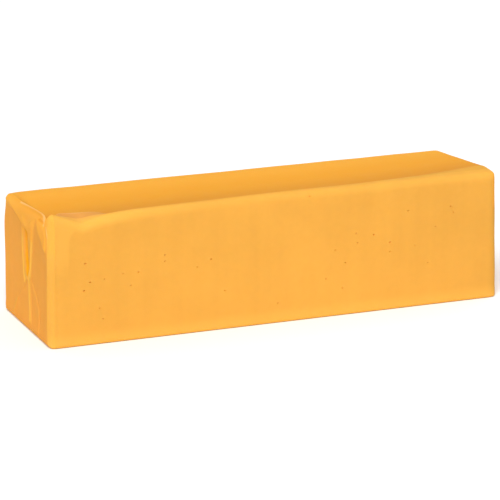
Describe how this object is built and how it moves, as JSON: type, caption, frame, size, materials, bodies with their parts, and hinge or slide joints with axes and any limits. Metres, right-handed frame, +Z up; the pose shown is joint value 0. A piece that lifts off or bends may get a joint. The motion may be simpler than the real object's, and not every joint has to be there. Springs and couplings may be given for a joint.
{
  "type": "loaf of processed cheese",
  "caption": "Unwrapped rectangular loaf of yellow-orange processed cheese, standing on its long side, with soft edges, a sunken top and liner folds pressed into its ends.",
  "frame": {"origin": "middle of the bounding box's underside, on the face the loaf stands on", "axes": "+X along the loaf, with the end that carries the notch, the ear and the clearest fold marks at -X; the tall front face looks along -Y and the lower back edge lies at +Y; +Z up"},
  "size_m": [0.2988, 0.0914, 0.0844],
  "materials": {
    "processed_cheese": null
  },
  "bodies": {
    "root": {"cheese_loaf": "processed_cheese"}
  },
  "joints": []
}
